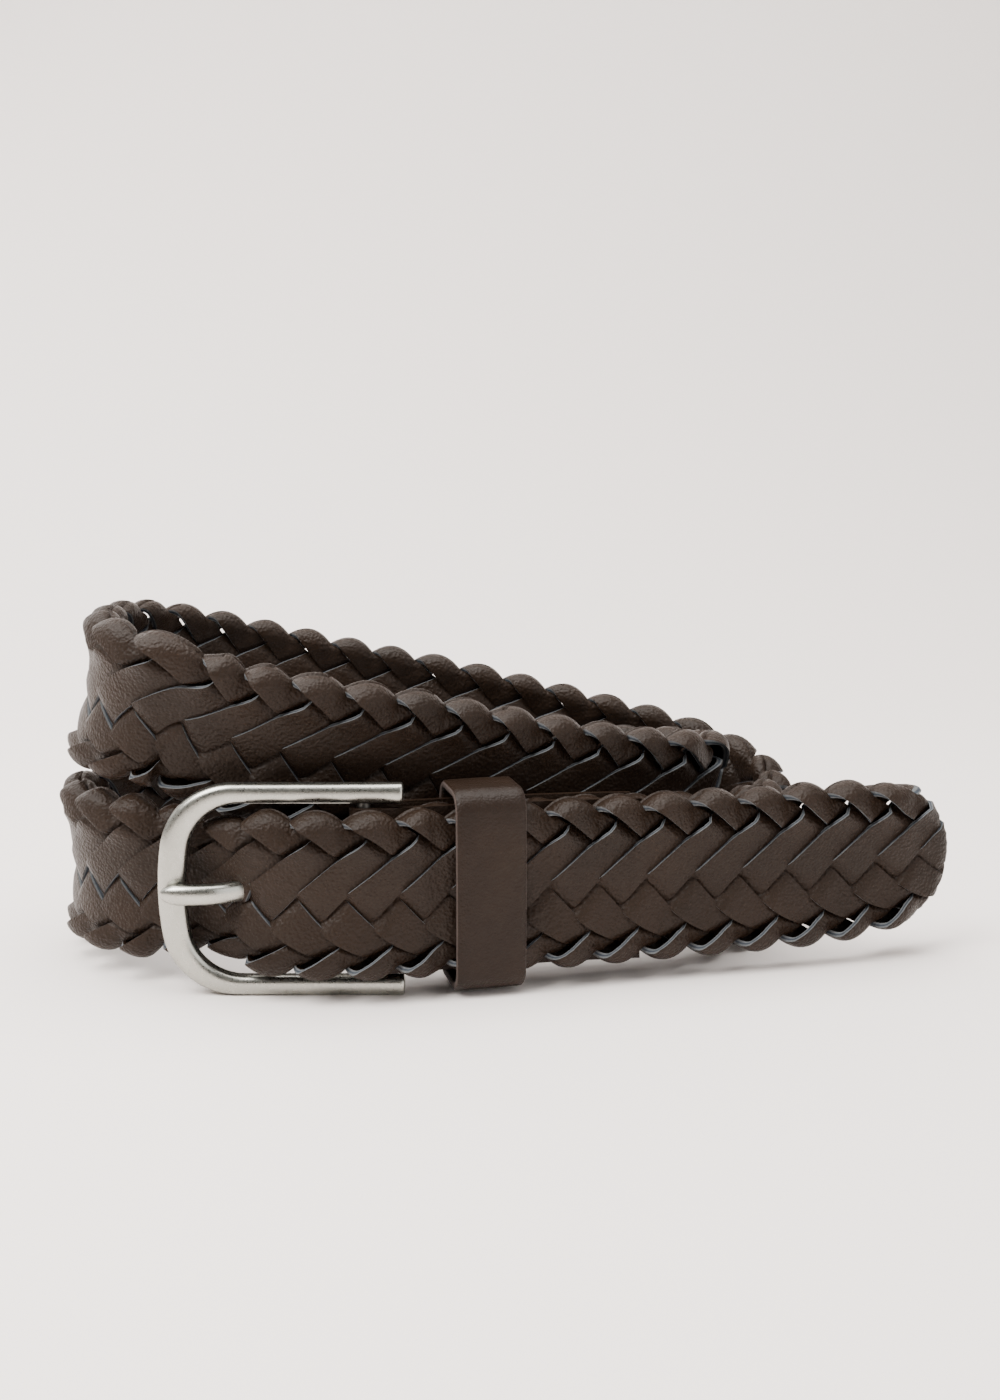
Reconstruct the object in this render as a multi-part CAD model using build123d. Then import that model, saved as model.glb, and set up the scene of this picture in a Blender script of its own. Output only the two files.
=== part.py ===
from build123d import *
import math
import os

# Braided leather belt, buckled and coiled on edge.  Millimetres.
# X runs along the buckle to the right, Y away from the front, Z up, floor at Z = 0.

os.makedirs("parts", exist_ok=True)

# Middle of the whole belt in X and Y: every piece is written about this point.
MIDDLE_X = 1.61
MIDDLE_Y = 37.13

# ---- strap ------------------------------------------------------------------
STRANDS = 8
STRAP_THICK = 4.4
LANE_GAP = 0.12
STEP = 6.0
STRAP_START = 9.5

# x, y, middle height, lean of the top edge out of the coil (degrees), width
STATIONS = [
    (-27.5, 3.9, 22.1, 0, 35.0),
    (-18.0, 6.8, 22.0, 0, 35.0),
    (-6.0, 9.9, 21.9, 0, 35.0),
    (5.0, 12.8, 21.7, 0, 35.0),
    (16.0, 15.8, 21.4, 0, 35.0),
    (27.0, 18.8, 20.9, 0, 35.0),
    (38.0, 23.2, 20.0, 0, 35.5),
    (47.0, 29.8, 19.0, 0, 35.5),
    (56.0, 39.5, 18.1, 0, 35.5),
    (61.2, 51.0, 17.9, 0, 35.5),
    (59.6, 62.0, 19.8, 0, 35.5),
    (53.0, 69.6, 23.0, 0, 35.5),
    (41.5, 74.0, 26.9, 0, 35.5),
    (24.4, 75.6, 31.3, 0, 35.5),
    (4.5, 75.8, 36.1, 0, 35.5),
    (-15.4, 75.6, 40.8, 0, 35.5),
    (-36.2, 74.6, 45.0, 0, 35.5),
    (-54.9, 72.4, 49.4, 0, 35.5),
    (-69.6, 68.0, 53.5, -3, 34.8),
    (-79.0, 60.9, 56.6, -8, 34.2),
    (-84.6, 51.0, 58.6, -12, 33.8),
    (-86.5, 40.0, 59.3, -14, 33.8),
    (-85.7, 29.4, 59.4, -11, 33.8),
    (-82.4, 20.8, 59.3, -6, 33.8),
    (-77.4, 14.8, 58.9, 0, 33.8),
    (-72.2, 12.1, 58.1, 7, 33.8),
    (-67.0, 11.6, 57.1, 13, 33.8),
    (-60.5, 11.2, 54.2, 14, 34.6),
    (-52.0, 11.0, 51.4, 14, 35.5),
    (-42.0, 11.6, 49.2, 14, 35.5),
    (-31.7, 13.6, 46.9, 13, 35.5),
    (-21.0, 16.5, 44.4, 11, 35.5),
    (0.0, 22.2, 39.2, 8, 35.5),
    (20.7, 27.4, 34.6, 5, 35.5),
    (30.0, 30.0, 32.8, 3, 35.5),
    (38.0, 33.6, 31.4, 1, 35.5),
    (44.2, 39.0, 30.0, 0, 35.5),
    (46.6, 46.5, 28.2, 0, 35.5),
    (43.5, 54.5, 27.2, 0, 35.5),
    (36.0, 59.5, 27.0, 0, 35.5),
    (20.0, 62.8, 26.2, 0, 35.5),
    (-5.0, 64.5, 23.0, 0, 35.5),
    (-30.0, 65.3, 19.4, 0, 35.5),
    (-55.0, 64.8, 17.9, 0, 35.5),
    (-72.0, 61.8, 18.2, 0, 35.2),
    (-83.4, 55.5, 19.4, 0, 35.0),
    (-90.0, 46.5, 20.5, 0, 35.0),
    (-91.7, 37.5, 21.2, 0, 35.0),
    (-89.4, 28.6, 21.6, 0, 35.0),
    (-85.0, 21.4, 21.9, 0, 35.0),
    (-79.0, 16.1, 22.0, 0, 35.0),
    (-73.0, 12.8, 22.2, 0, 34.8),
    (-67.0, 10.5, 22.2, 0, 34.2),
    (-62.0, 9.0, 22.2, 0, 31.6),
    (-57.0, 6.6, 22.2, 0, 30.8),
    (-52.0, 3.6, 22.2, 0, 32.6),
    (-47.0, 1.1, 22.2, 0, 34.4),
    (-41.0, -0.8, 22.2, 0, 34.9),
    (-34.0, -1.5, 22.2, 0, 35.0),
    (-27.5, -1.4, 22.2, 0, 35.0),
    (-18.0, 0.8, 22.1, 0, 35.2),
    (-6.0, 3.8, 22.1, 0, 35.6),
    (5.0, 6.8, 22.0, 0, 36.0),
    (16.0, 9.7, 22.0, 0, 36.0),
    (27.0, 12.6, 22.0, 0, 36.0),
    (42.0, 16.5, 22.0, 0, 36.0),
    (53.0, 19.3, 22.0, 0, 36.0),
    (62.0, 21.7, 22.0, 0, 36.0),
    (72.0, 24.5, 22.2, 0, 35.5),
    (80.0, 26.9, 22.3, 0, 34.0),
    (87.0, 28.9, 22.7, 0, 30.0),
    (92.8, 30.6, 23.1, 0, 21.0),
    (96.6, 31.7, 23.6, 0, 10.5),
]

# ---- where the prong goes through the strap ---------------------------------
HOLE_X = -51.2
HOLE_FLAT = 7.0
HOLE_RAMP = 6.0
HOLE_HALF = 2.15

# ---- buckle -----------------------------------------------------------------
FRAME_FRONT = 1.4
FRAME_BACK = 5.4
FRAME_HIGH = 44.4
LEG_END = -19.5
FRAME_LEFT = -69.4
RIM_WIDE = 5.8
OUTER_CORNER = 15.2
INNER_CORNER = 11.0
SIDE_BOW = 8.0
LEG_HIGH = 4.2
FRAME_ROUND = 1.3
BAR_X = -27.5
BAR_Y = 3.9
BAR_R = 1.5
BAR_SEAT = 2.2
PRONG_Z = 22.2
PRONG_R = 1.7
PRONG_EYE_IN = 1.62
PRONG_EYE_OUT = 2.85
PRONG_LINE = [
    (-29.9, 4.3),
    (-34.0, 5.0),
    (-40.0, 5.6),
    (-46.0, 5.5),
    (-50.5, 3.9),
    (-54.0, 1.5),
    (-58.0, -0.3),
    (-62.5, -0.8),
    (-66.5, -0.45),
]

# ---- tab, stitching and keeper ----------------------------------------------
TAB_LENGTH = 58.0
TAB_FACE = 2.3
TAB_THICK = 1.2
TAB_HIGH = 34.6
FOLD_R = 1.75
SLOT_HALF = 2.6
SLOT_LEFT = -33.0
SLOT_RIGHT = -20.5
THREAD = 0.5
THREAD_CLEAR = 0.1
STITCH_INSET = 3.0
KEEPER_X = -2.6
KEEPER_WIDE = 14.5
KEEPER_THICK = 1.8
KEEPER_LOW = 1.0
KEEPER_TOP = 43.2
KEEPER_FRONT = 2.6
KEEPER_BACK = 10.8
KEEPER_ROUND = 4.6
STAPLE_WIDE = 9.0
STAPLE_WIRE = 0.8


def add(a, b, k=1.0):
    return tuple(p + k * q for p, q in zip(a, b))


def unit(a):
    size = math.sqrt(sum(p * p for p in a))
    return tuple(p / size for p in a)


def cross(a, b):
    return (
        a[1] * b[2] - a[2] * b[1],
        a[2] * b[0] - a[0] * b[2],
        a[0] * b[1] - a[1] * b[0],
    )


def span_point(p0, p1, p2, p3, k):
    """Centripetal Catmull-Rom between p1 and p2, k from 0 to 1."""
    t0 = 0.0
    t1 = t0 + math.dist(p0[:3], p1[:3]) ** 0.5
    t2 = t1 + math.dist(p1[:3], p2[:3]) ** 0.5
    t3 = t2 + math.dist(p2[:3], p3[:3]) ** 0.5
    t = t1 + k * (t2 - t1)
    a1 = mix(p0, p1, (t - t0) / (t1 - t0))
    a2 = mix(p1, p2, (t - t1) / (t2 - t1))
    a3 = mix(p2, p3, (t - t2) / (t3 - t2))
    b1 = mix(a1, a2, (t - t0) / (t2 - t0))
    b2 = mix(a2, a3, (t - t1) / (t3 - t1))
    return mix(b1, b2, (t - t1) / (t2 - t1))


def mix(a, b, k):
    return tuple(p + (q - p) * k for p, q in zip(a, b))


def dense_path(points, per_span=24):
    """List of (s, point) along the whole strap, s = distance from the bar."""
    first = mix(points[1], points[0], 2.0)
    last = mix(points[-2], points[-1], 2.0)
    full = [first] + list(points) + [last]
    out = []
    s = 0.0
    for i in range(1, len(full) - 2):
        for j in range(per_span):
            p = span_point(full[i - 1], full[i], full[i + 1], full[i + 2], j / per_span)
            if out:
                s += math.dist(out[-1][1][:3], p[:3])
            out.append((s, p))
    s += math.dist(out[-1][1][:3], points[-1][:3])
    out.append((s, tuple(points[-1])))
    return out


PATH = dense_path(STATIONS)
LENGTH = PATH[-1][0]


def path_at(s):
    """Interpolated station at distance s."""
    low = 0
    high = len(PATH) - 1
    while high - low > 1:
        mid = (low + high) // 2
        if PATH[mid][0] <= s:
            low = mid
        else:
            high = mid
    s0, p0 = PATH[low]
    s1, p1 = PATH[high]
    return mix(p0, p1, (s - s0) / (s1 - s0))


def strap_frame(s):
    """Centre, direction, width direction, outward normal and width at s."""
    s = min(max(s, 0.0), LENGTH)
    here = path_at(s)
    ahead = path_at(min(s + 1.0, LENGTH))
    behind = path_at(max(s - 1.0, 0.0))
    along = unit(add(ahead[:3], behind[:3], -1.0))
    up = unit(add((0.0, 0.0, 1.0), along, -along[2]))
    out = cross(along, up)
    lean = math.radians(here[3])
    wide = add(tuple(math.cos(lean) * p for p in up), out, math.sin(lean))
    out = cross(along, wide)
    return here[:3], along, wide, out, here[4]


def hole_middle():
    """Distance along the strap at which the prong goes through."""
    best = None
    for s, p in PATH:
        if s > LENGTH * 0.6 and p[1] < 12.0 and abs(p[2] - 22.2) < 0.5:
            miss = abs(p[0] - HOLE_X)
            if best is None or miss < best[0]:
                best = (miss, s)
    return best[1]


HOLE_S = hole_middle()


def hole_half(s):
    away = abs(s - HOLE_S) - HOLE_FLAT
    if away <= 0.0:
        return HOLE_HALF
    if away >= HOLE_RAMP:
        return 0.0
    return HOLE_HALF * 0.5 * (1.0 + math.cos(math.pi * away / HOLE_RAMP))


def lane_edges(s, width, lane):
    """Lower and upper edge of one strand's share of the strap width."""
    half = width / 2.0
    gap = hole_half(s)
    per_side = STRANDS // 2
    size = (half - gap) / per_side
    if lane < per_side:
        low = -half + size * lane
    else:
        low = gap + size * (lane - per_side)
    return low + LANE_GAP / 2.0, low + size - LANE_GAP / 2.0


def section_stations():
    count = int(round((LENGTH - STRAP_START) / STEP))
    return [STRAP_START + (LENGTH - STRAP_START) * i / count for i in range(count + 1)]


def quad(corners):
    return Wire.make_polygon([Vector(*c) for c in corners], close=True)


def lane_section(s, lane):
    centre, along, wide, out, width = strap_frame(s)
    low, high = lane_edges(s, width, lane)
    depth = STRAP_THICK / 2.0
    corners = [(low, -depth), (high, -depth), (high, depth), (low, depth)]
    return quad([add(add(centre, wide, v), out, n) for v, n in corners])


def make_strand(lane):
    wires = [lane_section(s, lane) for s in section_stations()]
    return Solid.make_loft(wires, ruled=True)


# ---- tab: one strip folded round the bar --------------------------------------
def tab_line():
    """(centre, side) pairs from the back leaf's free end round to the front one's."""
    middle = TAB_FACE + TAB_THICK / 2.0
    fold = FOLD_R + TAB_THICK / 2.0
    stops = [TAB_LENGTH - i * (TAB_LENGTH - STRAP_START + 2.0) / 8.0 for i in range(9)]
    back = []
    front = []
    for s in stops:
        centre, along, wide, out, width = strap_frame(s)
        back.append((add(centre, out, -middle), out))
        front.append((add(centre, out, middle), out))
    bar, along, wide, out, width = strap_frame(0.0)
    turn = []
    for i in range(11):
        angle = math.pi * i / 10.0
        side = add(tuple(-math.cos(angle) * p for p in out), along, -math.sin(angle))
        flip = tuple(-p for p in side)
        turn.append((add(bar, side, fold), flip))
    front = [(c, tuple(-p for p in n)) for c, n in reversed(front)]
    return back + turn + front


def tab_section(centre, side):
    depth = TAB_THICK / 2.0
    high = TAB_HIGH / 2.0
    up = (0.0, 0.0, 1.0)
    corners = [(-high, -depth), (high, -depth), (high, depth), (-high, depth)]
    return quad([add(add(centre, up, v), side, n) for v, n in corners])


def make_tab():
    strip = Solid.make_loft([tab_section(c, n) for c, n in tab_line()], ruled=True)
    long = SLOT_RIGHT - SLOT_LEFT
    slot = Box(long, 30.0, 2.0 * SLOT_HALF)
    slot = Pos((SLOT_LEFT + SLOT_RIGHT) / 2.0, 6.0, PRONG_Z) * slot
    return strip - slot


# ---- stitching on the back leaf -------------------------------------------------
def thread_wire(s, low, high):
    centre, along, wide, out, width = strap_frame(s)
    near = TAB_FACE + TAB_THICK + THREAD_CLEAR
    corners = [(low, -near), (high, -near), (high, -near - THREAD), (low, -near - THREAD)]
    return quad([add(add(centre, (0.0, 0.0, 1.0), v), out, n) for v, n in corners])


def thread_run(start, end, low, high):
    count = max(1, int(round((end - start) / STEP)))
    stops = [start + (end - start) * i / count for i in range(count + 1)]
    return Solid.make_loft([thread_wire(s, low, high) for s in stops], ruled=True)


def make_stitching():
    edge = TAB_HIGH / 2.0 - STITCH_INSET
    start = STRAP_START + 5.0
    end = TAB_LENGTH - 3.0
    upper = thread_run(start, end, edge, edge + 0.7)
    lower = thread_run(start, end, -edge - 0.7, -edge)
    across = thread_run(end - 0.7, end, -edge - 0.35, edge + 0.35)
    return upper + lower + across


# ---- buckle -----------------------------------------------------------------------
def polar(cx, cz, r, angle):
    turn = math.radians(angle)
    return (cx + r * math.cos(turn), cz + r * math.sin(turn))


def arc(cx, cz, r, start, end):
    middle = polar(cx, cz, r, (start + end) / 2.0)
    first = polar(cx, cz, r, start)
    return Edge.make_three_point_arc(first, middle, polar(cx, cz, r, end))


def bowed_side(far, low, r):
    """Corner, slightly bowed side and corner, from the lower leg to the upper."""
    middle = FRAME_HIGH / 2.0
    tilt = math.radians(SIDE_BOW)
    big = (middle - low - r + r * math.sin(tilt)) / math.sin(tilt)
    cx = far + r * math.cos(tilt) + big * (1.0 - math.cos(tilt))
    bow_x = far + big
    lower = arc(cx, low + r, r, 270.0, 180.0 + SIDE_BOW)
    side = arc(bow_x, middle, big, 180.0 + SIDE_BOW, 180.0 - SIDE_BOW)
    upper = arc(cx, FRAME_HIGH - low - r, r, 180.0 - SIDE_BOW, 90.0)
    return [lower, side, upper], cx


def frame_outline():
    """Closed outline in X and Z, open towards the right between the legs."""
    high = FRAME_HIGH
    leg = LEG_HIGH
    outer, ox = bowed_side(FRAME_LEFT, 0.0, OUTER_CORNER)
    inner, ix = bowed_side(FRAME_LEFT + RIM_WIDE, leg, INNER_CORNER)
    pieces = [
        Edge.make_line((LEG_END, 0), (ox, 0)),
        *outer,
        Edge.make_line((ox, high), (LEG_END, high)),
        Edge.make_line((LEG_END, high), (LEG_END, high - leg)),
        Edge.make_line((LEG_END, high - leg), (ix, high - leg)),
        *inner,
        Edge.make_line((ix, leg), (LEG_END, leg)),
        Edge.make_line((LEG_END, leg), (LEG_END, 0)),
    ]
    return Face(Wire(pieces))


def make_frame():
    face = Plane.XZ * frame_outline()
    deep = FRAME_BACK - FRAME_FRONT
    body = Pos(0, FRAME_BACK, 0) * extrude(face, amount=deep, dir=(0, -1, 0))
    bar_hole = Pos(BAR_X, BAR_Y, FRAME_HIGH / 2) * Cylinder(BAR_R, bar_length())
    around = [e for e in body.edges() if flat_edge(e) and e.center().X < LEG_END - 0.1]
    return fillet(around, FRAME_ROUND) - bar_hole


def flat_edge(edge):
    return abs((edge @ 0).Y - (edge @ 1).Y) < 0.01


def bar_length():
    return FRAME_HIGH - 2.0 * (LEG_HIGH - BAR_SEAT)


def make_bar():
    return Pos(BAR_X, BAR_Y, FRAME_HIGH / 2) * Cylinder(BAR_R, bar_length())


def make_prong():
    line = Spline([Vector(x, y, PRONG_Z) for x, y in PRONG_LINE])
    start = Plane(origin=line @ 0, z_dir=line % 0)
    shank = sweep(start * Circle(PRONG_R), path=line)
    tip = Pos(*(line @ 1)) * Sphere(PRONG_R)
    eye = Cylinder(PRONG_EYE_OUT, 2.0 * PRONG_R + 1.0)
    whole = shank + tip + Pos(BAR_X, BAR_Y, PRONG_Z) * eye
    hole = Pos(BAR_X, BAR_Y, PRONG_Z) * Cylinder(PRONG_EYE_IN, 10.0)
    return whole - hole


# ---- keeper -------------------------------------------------------------------------
def keeper_plane():
    """Origin on the tail's middle line, X along the tail, Z up, Y to the back."""
    best = min((p for s, p in PATH if s > HOLE_S), key=lambda p: abs(p[0] - KEEPER_X))
    slope = unit((12.0, 3.0, 0.0))
    return Plane(origin=(best[0], best[1], 0), x_dir=slope, z_dir=(0, 0, 1))


def rounded_tube(front, back, low, top, radius, wide):
    box = Box(wide, back - front, top - low)
    box = fillet(box.edges().filter_by(Axis.X), radius)
    return Pos(0, (front + back) / 2.0, (low + top) / 2.0) * box


def staple_box():
    deep = KEEPER_BACK + KEEPER_THICK
    crown = Pos(0, deep, 22.0) * Box(STAPLE_WIDE, STAPLE_WIRE, STAPLE_WIRE)
    leg = Box(STAPLE_WIRE, KEEPER_THICK, STAPLE_WIRE)
    reach = STAPLE_WIDE / 2.0 - STAPLE_WIRE / 2.0
    left = Pos(-reach, deep - KEEPER_THICK / 2.0 + 0.1, 22.0) * leg
    right = Pos(reach, deep - KEEPER_THICK / 2.0 + 0.1, 22.0) * leg
    return crown + left + right


def make_keeper():
    t = KEEPER_THICK
    low = KEEPER_LOW
    top = KEEPER_TOP
    front = -KEEPER_FRONT
    back = KEEPER_BACK
    outer = rounded_tube(front - t, back + t, low, top, KEEPER_ROUND, KEEPER_WIDE)
    inner = rounded_tube(front, back, low + t, top - t, KEEPER_ROUND - t, KEEPER_WIDE + 4)
    return keeper_plane() * (outer - inner - staple_box())


def make_staple():
    return keeper_plane() * staple_box()


def save(name, shape):
    shape = Pos(-MIDDLE_X, -MIDDLE_Y, 0) * shape
    shape.label = name
    export_step(shape, os.path.join("parts", name + ".step"))
    print(name, round(shape.volume, 1), shape.is_valid)


save("buckle_frame", make_frame())
save("buckle_bar", make_bar())
save("prong", make_prong())
save("tab", make_tab())
save("tab_stitching", make_stitching())
save("keeper_loop", make_keeper())
save("keeper_staple", make_staple())
for lane in range(STRANDS):
    save("strand_" + str(lane + 1), make_strand(lane))
print("strap length", round(LENGTH, 1), "hole at", round(HOLE_S, 1))
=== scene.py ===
"""Looks of a braided leather belt, coiled on its edge.

Blender is in metres and the tables are in millimetres. X is to the right, Y away from the camera
and Z up. The strap is described by s, the distance along it from the buckle's bar, v, the height
across it, and n, the distance outwards from its middle sheet.
"""
import math

import bmesh
import bpy
import numpy as np
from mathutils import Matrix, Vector


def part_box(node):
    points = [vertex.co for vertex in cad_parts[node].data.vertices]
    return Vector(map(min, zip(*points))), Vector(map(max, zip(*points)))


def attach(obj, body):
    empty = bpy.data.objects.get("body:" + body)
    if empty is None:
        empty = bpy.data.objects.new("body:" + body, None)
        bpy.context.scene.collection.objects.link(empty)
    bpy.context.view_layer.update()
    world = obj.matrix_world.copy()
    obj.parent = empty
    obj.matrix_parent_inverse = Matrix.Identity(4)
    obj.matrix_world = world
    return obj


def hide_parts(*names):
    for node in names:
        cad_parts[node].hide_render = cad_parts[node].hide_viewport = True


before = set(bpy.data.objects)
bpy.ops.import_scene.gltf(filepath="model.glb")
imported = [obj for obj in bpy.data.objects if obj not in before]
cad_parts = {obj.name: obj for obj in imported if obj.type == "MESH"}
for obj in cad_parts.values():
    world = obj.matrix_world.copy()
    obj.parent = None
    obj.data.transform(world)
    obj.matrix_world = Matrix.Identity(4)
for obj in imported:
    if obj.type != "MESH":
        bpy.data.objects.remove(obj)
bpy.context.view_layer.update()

MM = 0.001

# Left end and front of the buckle frame in the tables; SHIFT moves them to the loaded frame.
LEFT = -69.4
FRONT = 1.4
FRAME_CORNER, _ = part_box("buckle_frame")
SHIFT = np.array([FRAME_CORNER.x / MM - LEFT, FRAME_CORNER.y / MM - FRONT, 0.0])

# Middle of the strap from the bar to the tip: x, y, z, lean in degrees, width
STATIONS = np.array([
    (-27.5, 3.9, 22.1, 0, 35.0),
    (-18.0, 6.8, 22.0, 0, 35.0),
    (-6.0, 9.9, 21.9, 0, 35.0),
    (5.0, 12.8, 21.7, 0, 35.0),
    (16.0, 15.8, 21.4, 0, 35.0),
    (27.0, 18.8, 20.9, 0, 35.0),
    (38.0, 23.2, 20.0, 0, 35.5),
    (47.0, 29.8, 19.0, 0, 35.5),
    (56.0, 39.5, 18.1, 0, 35.5),
    (61.2, 51.0, 17.9, 0, 35.5),
    (59.6, 62.0, 19.8, 0, 35.5),
    (53.0, 69.6, 23.0, 0, 35.5),
    (41.5, 74.0, 26.9, 0, 35.5),
    (24.4, 75.6, 31.3, 0, 35.5),
    (4.5, 75.8, 36.1, 0, 35.5),
    (-15.4, 75.6, 40.8, 0, 35.5),
    (-36.2, 74.6, 45.0, 0, 35.5),
    (-54.9, 72.4, 49.4, 0, 35.5),
    (-69.6, 68.0, 53.5, -3, 34.8),
    (-79.0, 60.9, 56.6, -8, 34.2),
    (-84.6, 51.0, 58.6, -12, 33.8),
    (-86.5, 40.0, 59.3, -14, 33.8),
    (-85.7, 29.4, 59.4, -11, 33.8),
    (-82.4, 20.8, 59.3, -6, 33.8),
    (-77.4, 14.8, 58.9, 0, 33.8),
    (-72.2, 12.1, 58.1, 7, 33.8),
    (-67.0, 11.6, 57.1, 13, 33.8),
    (-60.5, 11.2, 54.2, 14, 34.6),
    (-52.0, 11.0, 51.4, 14, 35.5),
    (-42.0, 11.6, 49.2, 14, 35.5),
    (-31.7, 13.6, 46.9, 13, 35.5),
    (-21.0, 16.5, 44.4, 11, 35.5),
    (0.0, 22.2, 39.2, 8, 35.5),
    (20.7, 27.4, 34.6, 5, 35.5),
    (30.0, 30.0, 32.8, 3, 35.5),
    (38.0, 33.6, 31.4, 1, 35.5),
    (44.2, 39.0, 30.0, 0, 35.5),
    (46.6, 46.5, 28.2, 0, 35.5),
    (43.5, 54.5, 27.2, 0, 35.5),
    (36.0, 59.5, 27.0, 0, 35.5),
    (20.0, 62.8, 26.2, 0, 35.5),
    (-5.0, 64.5, 23.0, 0, 35.5),
    (-30.0, 65.3, 19.4, 0, 35.5),
    (-55.0, 64.8, 17.9, 0, 35.5),
    (-72.0, 61.8, 18.2, 0, 35.2),
    (-83.4, 55.5, 19.4, 0, 35.0),
    (-90.0, 46.5, 20.5, 0, 35.0),
    (-91.7, 37.5, 21.2, 0, 35.0),
    (-89.4, 28.6, 21.6, 0, 35.0),
    (-85.0, 21.4, 21.9, 0, 35.0),
    (-79.0, 16.1, 22.0, 0, 35.0),
    (-73.0, 12.8, 22.2, 0, 34.8),
    (-67.0, 10.5, 22.2, 0, 34.2),
    (-62.0, 9.0, 22.2, 0, 31.6),
    (-57.0, 6.6, 22.2, 0, 30.8),
    (-52.0, 3.6, 22.2, 0, 32.6),
    (-47.0, 1.1, 22.2, 0, 34.4),
    (-41.0, -0.8, 22.2, 0, 34.9),
    (-34.0, -1.5, 22.2, 0, 35.0),
    (-27.5, -1.4, 22.2, 0, 35.0),
    (-18.0, 0.8, 22.1, 0, 35.2),
    (-6.0, 3.8, 22.1, 0, 35.6),
    (5.0, 6.8, 22.0, 0, 36.0),
    (16.0, 9.7, 22.0, 0, 36.0),
    (27.0, 12.6, 22.0, 0, 36.0),
    (42.0, 16.5, 22.0, 0, 36.0),
    (53.0, 19.3, 22.0, 0, 36.0),
    (62.0, 21.7, 22.0, 0, 36.0),
    (72.0, 24.5, 22.2, 0, 35.5),
    (80.0, 26.9, 22.3, 0, 34.0),
    (87.0, 28.9, 22.7, 0, 30.0),
    (92.8, 30.6, 23.1, 0, 21.0),
    (96.6, 31.7, 23.6, 0, 10.5),
])

# ---- path of the strap -------------------------------------------------------


def catmull(points, per_span=24):
    """Centripetal Catmull-Rom through the stations, as rows of x, y, z, lean, width."""
    first = 2 * points[0] - points[1]
    last = 2 * points[-1] - points[-2]
    full = np.vstack([first, points, last])
    rows = []
    for i in range(1, len(full) - 2):
        p0, p1, p2, p3 = full[i - 1], full[i], full[i + 1], full[i + 2]
        t0 = 0.0
        t1 = t0 + np.linalg.norm(p1[:3] - p0[:3]) ** 0.5
        t2 = t1 + np.linalg.norm(p2[:3] - p1[:3]) ** 0.5
        t3 = t2 + np.linalg.norm(p3[:3] - p2[:3]) ** 0.5
        for j in range(per_span):
            t = t1 + (t2 - t1) * j / per_span
            a1 = p0 + (p1 - p0) * (t - t0) / (t1 - t0)
            a2 = p1 + (p2 - p1) * (t - t1) / (t2 - t1)
            a3 = p2 + (p3 - p2) * (t - t2) / (t3 - t2)
            b1 = a1 + (a2 - a1) * (t - t0) / (t2 - t0)
            b2 = a2 + (a3 - a2) * (t - t1) / (t3 - t1)
            rows.append(b1 + (b2 - b1) * (t - t1) / (t2 - t1))
    rows.append(points[-1])
    return np.array(rows)


class Path:
    """The strap's middle line with its width direction and outward normal at every distance."""

    def __init__(self, stations):
        rows = catmull(stations)
        steps = np.linalg.norm(np.diff(rows[:, :3], axis=0), axis=1)
        s = np.concatenate([[0.0], np.cumsum(steps)])
        self.length = s[-1]
        self.s = np.arange(0.0, self.length, 0.25)
        rows = np.stack([np.interp(self.s, s, rows[:, i]) for i in range(5)], axis=1)
        self.centre = rows[:, :3] + SHIFT
        self.width = rows[:, 4]
        span = 6
        ahead = np.minimum(np.arange(len(rows)) + span, len(rows) - 1)
        behind = np.maximum(np.arange(len(rows)) - span, 0)
        along = rows[ahead, :3] - rows[behind, :3]
        along /= np.linalg.norm(along, axis=1)[:, None]
        up = np.array([0.0, 0.0, 1.0]) - along * along[:, 2:3]
        up /= np.linalg.norm(up, axis=1)[:, None]
        out = np.cross(along, up)
        lean = np.radians(rows[:, 3])[:, None]
        self.wide = np.cos(lean) * up + np.sin(lean) * out
        self.out = np.cross(along, self.wide)
        self.along = along

    def look(self, table, s):
        columns = [np.interp(s, self.s, table[:, i]) for i in range(table.shape[1])]
        return np.stack(columns, axis=-1)

    def place(self, s, v, n):
        """Points at distance s, height v across the strap and n outwards."""
        over = np.maximum(s - self.s[-1], 0.0)[..., None]
        under = np.minimum(s, 0.0)[..., None]
        base = self.look(self.centre, s)
        along = self.look(self.along, s)
        wide = self.look(self.wide, s)
        out = self.look(self.out, s)
        return base + along * (over + under) + wide * v[..., None] + out * n[..., None]

    def near_x(self, x, low, high):
        """Distance at which the path passes x, searched between two distances."""
        keep = (self.s >= low) & (self.s <= high)
        miss = np.abs(self.centre[keep, 0] - SHIFT[0] - x)
        return self.s[keep][np.argmin(miss)]


path = Path(STATIONS)

# ---- braid -------------------------------------------------------------------
STRANDS = 8
PITCH = 10.4            # along the strap, from one fold to the next on the same edge
RUN = PITCH * STRANDS / 2  # along the strap, while a strand goes from edge to edge
STRIP_WIDE = 7.0
STRIP_THICK = 1.9
NOMINAL_WIDTH = 35.2
BRAID_START = 10.0

# Layers: how far a strand's middle lies from the strap's middle sheet
LAYER = 1.02
FLOAT_LIFT = 0.3        # more where it passes over two strands at once
FALLING_LIFT = 0.22     # more late in a falling run
SHALLOWER = 0.45        # share by which a strand that ends a run behind lies less deep
CURL = 0.13             # lift of a strand's left edge, as a share of its width
LOW_CROWDING = 1.7      # how far the crossings below CROWDED_UP_TO are moved down, at most
CROWDED_UP_TO = 1.5

# Folds at the edges
FOLD_V = 14.75
FOLD_MIDDLE_R = 2.05
FOLD_END_R = 1.0
FOLD_MEAN_R = 1.6
FOLD_APPROACH = 5.0     # height over which a strand leaves its layer for the fold
DROP_FROM = 6.5         # height from which a strand's sides begin to drop towards the fold
DROP = 0.75             # how far the sides of a fold lie nearer the middle than its crest
DROP_IN_FRONT = 0.55    # and how much more on its outer face

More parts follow.
